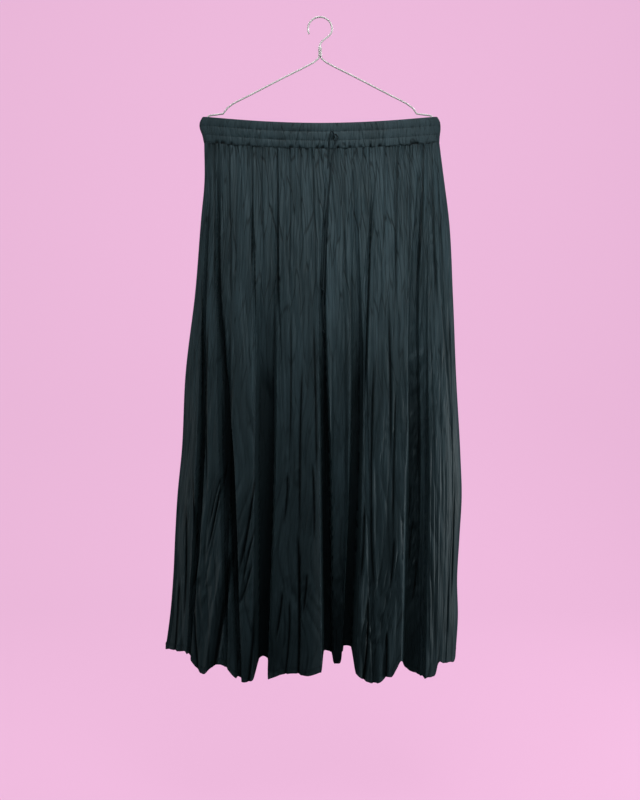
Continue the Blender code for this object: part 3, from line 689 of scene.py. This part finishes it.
def pressed_viscose(name, width, length, pitch, crease_length, crease_shade_at_top, crease_shade_at_foot):
    """The cloth for a piece this wide and long in mm, with painted shade in its fine creases this deep at top
    and foot.
    """
    finish = bpy.data.materials.new(name)
    finish.use_nodes = True
    shader = finish.node_tree.nodes["Principled BSDF"]
    for socket, value in (
        ("Roughness", 0.46), ("Specular IOR Level", 0.2), ("Specular Tint", linear("#cfe4ea")),
        ("Sheen Weight", 0.08), ("Sheen Roughness", 0.35), ("Sheen Tint", linear("#8fb8c4")),
    ):
        shader.inputs[socket].default_value = value
    place = add_node(finish, "ShaderNodeTexCoord", {})
    flat = add_node(finish, "ShaderNodeSeparateXYZ", {"Vector": place.outputs["UV"]})
    wander_place = add_node(
        finish, "ShaderNodeMapping",
        {"Vector": place.outputs["UV"], "Scale": (width / WANDER_SIZE[0], length / WANDER_SIZE[1], 1.0)},
    )
    wander = add_node(
        finish, "ShaderNodeTexNoise", {"Vector": wander_place.outputs["Vector"], "Scale": 1.0, "Detail": 1.0}
    )
    sideways = add_node(
        finish, "ShaderNodeVectorMath", {0: wander.outputs["Color"], 1: (WANDER_REACH / width, 0.0, 0.0)},
        operation="MULTIPLY",
    )
    wandered = add_node(
        finish, "ShaderNodeVectorMath", {0: place.outputs["UV"], 1: sideways.outputs["Vector"]},
        operation="ADD",
    )
    crease_place = add_node(
        finish, "ShaderNodeMapping",
        {"Vector": wandered.outputs["Vector"], "Scale": (width / pitch, length / crease_length, 1.0)},
    )
    cells = add_node(
        finish, "ShaderNodeTexVoronoi", {"Vector": crease_place.outputs["Vector"], "Scale": 1.0},
        voronoi_dimensions="2D", feature="DISTANCE_TO_EDGE",
    )
    fine = add_node(
        finish, "ShaderNodeMapRange",
        {"Value": cells.outputs["Distance"], "From Max": 0.08, "To Min": -1.0, "To Max": 0.0},
        interpolation_type="SMOOTHSTEP",
    )
    # Painted shade in the fine creases, as deep as given at the top and at the foot; they are bump as well
    darkest = add_node(
        finish, "ShaderNodeMapRange",
        {
            "Value": flat.outputs["Y"], "From Min": 0.85, "From Max": 0.35,
            "To Min": crease_shade_at_top, "To Max": crease_shade_at_foot,
        },
    )
    fine_here = add_node(
        finish, "ShaderNodeMath", {0: fine.outputs["Result"], 1: darkest.outputs["Result"], 2: 1.0},
        operation="MULTIPLY_ADD",
    )
    # Painted shade of shut creases and deep folds, read from the mesh
    painted_shade = add_node(finish, "ShaderNodeAttribute", {}, attribute_name="painted_crease_shade")
    lit = add_node(
        finish, "ShaderNodeMapRange", {"Value": painted_shade.outputs["Fac"], "To Min": 1.0, "To Max": DARKEST_PAINTED_SHADE}
    )
    darkness = add_node(
        finish, "ShaderNodeMath", {0: fine_here.outputs["Value"], 1: lit.outputs["Result"]},
        operation="MULTIPLY",
    )
    dye_place = add_node(
        finish, "ShaderNodeMapping",
        {"Vector": place.outputs["UV"], "Scale": (width / DYE_SIZE[0], length / DYE_SIZE[1], 1.0)},
    )
    dye = add_node(
        finish, "ShaderNodeTexNoise", {"Vector": dye_place.outputs["Vector"], "Scale": 1.0, "Detail": 4.0}
    )
    dye_shade = add_node(finish, "ShaderNodeValToRGB", {"Fac": dye.outputs["Fac"]})
    dye_shade.color_ramp.elements[0].position = 0.3
    dye_shade.color_ramp.elements[0].color = linear("#2b393e")
    dye_shade.color_ramp.elements[1].position = 0.75
    dye_shade.color_ramp.elements[1].color = linear("#384a51")
    # The dye's random tone, darkened by all the painted shade
    colour = add_node(
        finish, "ShaderNodeVectorMath", {0: dye_shade.outputs["Color"], 1: darkness.outputs["Value"]},
        operation="MULTIPLY",
    )
    grain = add_node(
        finish, "ShaderNodeTexNoise", {"Vector": place.outputs["Object"], "Scale": 900.0, "Detail": 2.0}
    )
    fine_bump = add_node(
        finish, "ShaderNodeBump", {"Height": fine_here.outputs["Value"], "Strength": 0.6, "Distance": 0.0016}
    )
    grain_bump = add_node(
        finish, "ShaderNodeBump",
        {
            "Height": grain.outputs["Fac"], "Normal": fine_bump.outputs["Normal"],
            "Strength": 0.25, "Distance": 0.0004,
        },
    )
    finish.node_tree.links.new(colour.outputs["Vector"], shader.inputs["Base Color"])
    finish.node_tree.links.new(grain_bump.outputs["Normal"], shader.inputs["Normal"])
    return finish


crinkle_cloth = pressed_viscose(
    "crinkle_viscose", PANEL_WIDTH, PANEL_LENGTH, CREASE_PITCH, CREASE_LENGTH,
    crease_shade_at_top=0.65, crease_shade_at_foot=0.2,
)
front, front_points = crinkled_panel(
    "skirt_front", -1, FRONT_FOLDS, FRONT_TURNS, FRONT_HEM, FRONT_CREASES, FRONT_CRUMPLES, FRONT_CALM,
    seed=11, columns=500, rows=196,
)
back, back_points = crinkled_panel(
    "skirt_back", 1, BACK_FOLDS, BACK_TURNS, BACK_HEM, BACK_CREASES, BACK_CRUMPLES, (),
    seed=211, columns=460, rows=180,
)
# Spun polyester sewing thread in the cloth's colour: matt and mottled, which gives the eye small dull beads.
thread = bpy.data.materials.new("spun_polyester_thread")
thread.use_nodes = True
thread_shader = thread.node_tree.nodes["Principled BSDF"]
thread_shader.inputs["Roughness"].default_value = 0.6
thread_shader.inputs["Specular IOR Level"].default_value = 0.15
thread_place = add_node(thread, "ShaderNodeTexCoord", {})
thread_twist = add_node(
    thread, "ShaderNodeTexNoise", {"Vector": thread_place.outputs["Object"], "Scale": 2600.0, "Detail": 1.0}
)
thread_shade = add_node(thread, "ShaderNodeValToRGB", {"Fac": thread_twist.outputs["Fac"]})
thread_shade.color_ramp.elements[0].color = linear("#121a1d")
thread_shade.color_ramp.elements[1].color = linear("#212c30")
thread.node_tree.links.new(thread_shade.outputs["Color"], thread_shader.inputs["Base Color"])

hem_seams = {
    "front": sewn_line("hem_stitches_front", front_points[HEM_ROWS + 2], -1, *HEM_STITCH),
    "back": sewn_line("hem_stitches_back", back_points[HEM_ROWS + 2], 1, *HEM_STITCH),
}
# Each panel is cut flared: 0.75 m wide at the waist seam, and as wide at the foot as its hem line is long
for panel, node, hem_width, area in ((front, "front_panel", 1.15, 0.84), (back, "back_panel", 1.25, 0.885)):
    panel.data.materials.append(crinkle_cloth)
    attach(panel, "root")
    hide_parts(node)


# The waistband: a folded strip of the same cloth, sewn down in three channels over wide elastic, which draws
# it into small gathers. The stitched lines pull in between the padded channels.
BAND_HALF_DEPTH = 10.5
BAND_WALL = 2.2
BAND_STITCH_LINES = (15.0, 30.0, 43.5)
BAND_BULGE = 0.8
BAND_GATHER_PITCH = 4.2
BAND_GATHER = 0.8
BAND_DENT_PITCH = 5.0
BAND_DENT = 2.0
BAND_DENT_FROM = 0.3
BAND_DENT_OVER = 0.3
BAND_DENT_HEIGHT = 2.8
BAND_DENT_ABOVE_EDGE = 1.2
BAND_PUCKER = 0.9
BAND_PUCKER_HEIGHT = 2.6
BAND_PINCH_PITCH = 5.0
BAND_PINCH_LENGTH = 40.0
BAND_PINCH_MIDDLE = 0.45
BAND_TEXTURE_LIMIT = 0.6
BAND_TOP_ROUND = 1.0
BAND_SEWN_LINES = (15.0, 30.0, 42.0)
BAND_COLUMNS = 420
BAND_ROWS = 58
BAND_REACH = (
    (0.0, 199.5, 199.5), (7.5, 203.8, 203.8), (15.0, 205.0, 205.0), (22.5, 203.5, 205.0),
    (30.0, 200.5, 204.0), (37.0, 198.8, 203.4), (43.5, 197.4, 203.1),
)


def casing_half(name, side, seed, columns, rows):
    """Half of the elastic casing. side is -1 for the front and 1 for the back."""
    made, across, down = fresh_grid(name, columns, rows)
    fall = down * BAND_HEIGHT
    downs, lefts, rights = zip(*BAND_REACH)
    way = -side * np.sin((2 * across - 1) * math.pi / 2)
    reach = np.where(way < 0, smooth_between(downs, lefts, fall), smooth_between(downs, rights, fall))
    x = way * reach
    plan = np.clip(1.0 - np.abs(way) ** PLAN_POWER, 0.0, 1.0) ** (1 / PLAN_POWER)
    lines = np.array([0.0, *BAND_STITCH_LINES])
    number = np.clip(np.searchsorted(lines, fall, side="right") - 1, 0, len(lines) - 2)
    share = (fall - lines[number]) / (lines[number + 1] - lines[number])
    padding = BAND_BULGE * np.clip(4 * share * (1 - share), 0.0, 1.0) ** 0.8
    nearest = np.min([np.abs(fall - line) for line in BAND_STITCH_LINES], axis=0)
    pucker = np.exp(-((nearest / BAND_PUCKER_HEIGHT) ** 2))
    free = soft_step((1.0 - np.abs(way)) / SEAM_STIFF_SHARE) * soft_step(fall / 2.0)
    gathers = pressed(seed, x, fall, BAND_GATHER_PITCH, 34.0, 0.06) - 0.5
    pinch = pressed(seed + 7, x, fall, BAND_PINCH_PITCH, BAND_PINCH_LENGTH, 0.04) - BAND_PINCH_MIDDLE
    chance = unevenness(seed + 9, x / BAND_DENT_PITCH, 0 * x)
    dented = soft_step((chance - BAND_DENT_FROM) / BAND_DENT_OVER)
    dented = dented * np.exp(-(((BAND_HEIGHT - BAND_DENT_ABOVE_EDGE - fall) / BAND_DENT_HEIGHT) ** 2))
    crinkle = BAND_GATHER * (0.5 + fall / BAND_HEIGHT) * gathers + BAND_PUCKER * pucker * pinch
    out = BAND_HALF_DEPTH + padding + free * (np.minimum(crinkle, BAND_TEXTURE_LIMIT) - BAND_DENT * dented)
    rounding = np.clip(1.0 - fall / BAND_TOP_ROUND, 0.0, 1.0)
    out = out - BAND_TOP_ROUND * rounding**2
    z = -(BAND_TOP_DROP + band_sag(x) + fall)
    points = np.stack([x, side * (SEAM_GAP / 2 + out * plan), z], axis=1)
    place_corners(made, points)
    # Painted shade in the dents along the lower edge and in the puckers at the stitched lines
    painted_shade = np.maximum(dented, 0.5 * pucker * (1.0 - soft_step((pinch + BAND_PINCH_MIDDLE) / 0.15)))
    paint_crease_shade(made, painted_shade * free)
    bpy.ops.object.modifier_add(type="SOLIDIFY")
    made.modifiers[-1].thickness = BAND_WALL * MM
    made.modifiers[-1].offset = -1.0
    bpy.ops.object.modifier_apply(modifier=made.modifiers[-1].name)
    bpy.ops.object.shade_smooth_by_angle(angle=SMOOTH_ANGLE)
    return made, points.reshape(rows + 1, columns + 1, 3)


casing_cloth = pressed_viscose(
    "gathered_viscose_casing", PANEL_WIDTH, BAND_HEIGHT, pitch=4.0, crease_length=60.0,
    crease_shade_at_top=0.5, crease_shade_at_foot=0.5,
)
for side_name, side, seed in (("front", -1, 400), ("back", 1, 500)):
    band, band_points = casing_half(f"casing_{side_name}", side, seed, BAND_COLUMNS, BAND_ROWS)
    band.data.materials.append(casing_cloth)
    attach(band, "root")
    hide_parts(f"waistband_{side_name}")
    for number, line in enumerate(BAND_SEWN_LINES):
        row = band_points[BAND_ROWS - round(line / BAND_HEIGHT * BAND_ROWS)]
        sewn_line(f"casing_stitches_{side_name}_{number}", row, side, *CASING_STITCH)

# The buttonhole that lets the cord out: a slot whose edge is whipped over with thread
BUTTONHOLE = (26.2, -208.0)
BUTTONHOLE_HALF_WIDTH = 3.6
BUTTONHOLE_HALF_HEIGHT = 5.6
BUTTONHOLE_IN_FRONT = 12.0
WHIPPING_RADIUS = 0.7
rim = np.linspace(0.0, 2 * math.pi, 73)
rim_x = BUTTONHOLE[0] + BUTTONHOLE_HALF_WIDTH * np.sin(rim)
rim_z = BUTTONHOLE[1] + BUTTONHOLE_HALF_HEIGHT * np.cos(rim)
buttonhole = round_along(
    "buttonhole_stitches", np.stack([rim_x, np.full_like(rim, -BUTTONHOLE_IN_FRONT), rim_z], axis=1),
    WHIPPING_RADIUS, sides=10, strands=2, groove=0.25, pitch=1.4,
)
buttonhole.data.materials.append(thread)
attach(buttonhole, "root")


# The hanger: bent from 3 mm steel wire and dipped in white coating. The hook's end and an arm's end wind
# round each other to make the neck.
NECK_TOP = -50.0
NECK_BOTTOM = -67.0
NECK_WIND_RADIUS = 1.62
NECK_TURNS = 2.6
NECK_POINTS = 61
WIRE_SIDES = 16
WIRE_DIAMETER = 3.0

# Baked vinyl coating over steel wire: smooth, half gloss, with the faint ripple that a dipped coat keeps.
coated_wire = bpy.data.materials.new("dipped_vinyl_on_steel_wire")
coated_wire.use_nodes = True
wire_shader = coated_wire.node_tree.nodes["Principled BSDF"]
wire_shader.inputs["Roughness"].default_value = 0.3
wire_shader.inputs["Coat Weight"].default_value = 0.3
wire_place = add_node(coated_wire, "ShaderNodeTexCoord", {})
wire_ripple = add_node(
    coated_wire, "ShaderNodeTexNoise", {"Vector": wire_place.outputs["Object"], "Scale": 160.0, "Detail": 2.0}
)
wire_shade = add_node(coated_wire, "ShaderNodeValToRGB", {"Fac": wire_ripple.outputs["Fac"]})
wire_shade.color_ramp.elements[0].color = linear("#e3e3e0")
wire_shade.color_ramp.elements[1].color = linear("#f4f4f2")
wire_bump = add_node(
    coated_wire, "ShaderNodeBump", {"Height": wire_ripple.outputs["Fac"], "Strength": 0.2, "Distance": 0.0004}
)
coated_wire.node_tree.links.new(wire_shade.outputs["Color"], wire_shader.inputs["Base Color"])
coated_wire.node_tree.links.new(wire_bump.outputs["Normal"], wire_shader.inputs["Normal"])

strands = []
for number, start in enumerate((0.0, math.pi)):
    shares = np.linspace(0.0, 1.0, NECK_POINTS)
    winding = start + 2 * math.pi * NECK_TURNS * shares
    path = np.stack([
        NECK_WIND_RADIUS * np.cos(winding), NECK_WIND_RADIUS * np.sin(winding),
        NECK_TOP + shares * (NECK_BOTTOM - NECK_TOP),
    ], axis=1)
    strands.append(round_along(f"hanger_twist_{number}", path, WIRE_DIAMETER / 2, WIRE_SIDES))
for strand in strands:
    strand.data.materials.append(coated_wire)
    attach(strand, "root")
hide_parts("hanger_neck")
for node in ("hanger_arm_left", "hanger_arm_right", "hanger_bar", "hanger_hook"):
    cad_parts[node].material_slots[0].material = coated_wire


# The room: a plain pink floor that curves up into a wall, with soft lamps above, beside and behind.
FLOOR_HEIGHT = -1.36
WALL_PLACE = 1.9
ROOM_HALF_WIDTH = 4.0
SWEEP_RADIUS = 0.6
SWEEP_LENGTH = 6.0
FLOOR_RUN = 3.0
room, across, down = fresh_grid("pale_sweep", 2, 48)
along = down * SWEEP_LENGTH
bend_run = SWEEP_RADIUS * math.pi / 2
turn = np.clip((along - FLOOR_RUN) / SWEEP_RADIUS, 0.0, math.pi / 2)
room_y = WALL_PLACE - SWEEP_RADIUS - FLOOR_RUN + np.minimum(along, FLOOR_RUN) + SWEEP_RADIUS * np.sin(turn)
room_z = FLOOR_HEIGHT + SWEEP_RADIUS * (1 - np.cos(turn)) + np.clip(along - FLOOR_RUN - bend_run, 0.0, None)
place_corners(room, np.stack([(across - 0.5) * 2 * ROOM_HALF_WIDTH, room_y, room_z], axis=1) / MM)
bpy.ops.object.shade_smooth()
# Matt wall paint that mostly glows of its own, which gives the eye an even pink with hardly a spot of light
sweep_paint = bpy.data.materials.new("matt_wall_paint")
sweep_paint.use_nodes = True
paint_shader = sweep_paint.node_tree.nodes["Principled BSDF"]
for socket, value in (
    ("Base Color", linear("#775a6e")), ("Emission Color", linear("#edb9dc")),
    ("Emission Strength", 0.92), ("Roughness", 0.9), ("Specular IOR Level", 0.1),
):
    paint_shader.inputs[socket].default_value = value
room.data.materials.append(sweep_paint)
# The wall's own colour stays off the dark cloth
room.visible_diffuse = False
room.visible_glossy = False


def soft_lamp(name, place, aim, width, height, power, spread=180.0):
    """A flat lamp at a place in metres, turned towards a point. Its light fans out over spread degrees."""
    way = np.array(aim, float) - np.array(place, float)
    tilt, turn = math.atan2(math.hypot(way[0], way[1]), -way[2]), math.atan2(way[1], way[0]) - math.pi / 2
    bpy.ops.object.select_all(action="DESELECT")
    bpy.ops.object.light_add(type="AREA", location=place, rotation=(tilt, 0.0, turn))
    lamp = bpy.context.object
    lamp.name = name
    lamp.data.shape = "RECTANGLE"
    lamp.data.size, lamp.data.size_y = width, height
    lamp.data.energy = power
    lamp.data.spread = math.radians(spread)


soft_lamp("key_lamp", (0.2, -0.9, 0.6), (0.0, 0.0, -0.3), 0.8, 0.6, 6.6)
soft_lamp("top_lamp", (0.0, -0.5, 0.8), (0.0, 0.0, -0.3), 1.0, 0.5, 3.9)
soft_lamp("hip_lamp", (0.25, -0.65, -0.15), (0.05, 0.0, -0.46), 0.3, 0.3, 0.34, 75.0)
soft_lamp("left_lamp", (-1.1, -1.0, 0.5), (0.0, 0.0, -0.3), 0.8, 0.8, 3.0)
soft_lamp("right_edge_lamp", (1.6, -0.1, -0.8), (0.2, 0.0, -0.85), 0.4, 1.0, 13.0)
soft_lamp("left_edge_lamp", (-1.6, -0.1, -0.8), (-0.2, 0.0, -0.85), 0.4, 1.0, 3.0)
soft_lamp("back_lamp", (0.7, 1.1, 0.4), (0.0, 0.0, -0.6), 0.6, 0.6, 9.0)
soft_lamp("wall_lamp", (0.0, 0.65, 1.2), (0.0, 1.8, -0.9), 2.6, 0.5, 8.0)
world = bpy.data.worlds.new("room_light")
bpy.context.scene.world = world
world.use_nodes = True
world.node_tree.nodes["Background"].inputs["Color"].default_value = linear("#f4f0f4")
world.node_tree.nodes["Background"].inputs["Strength"].default_value = 0.01
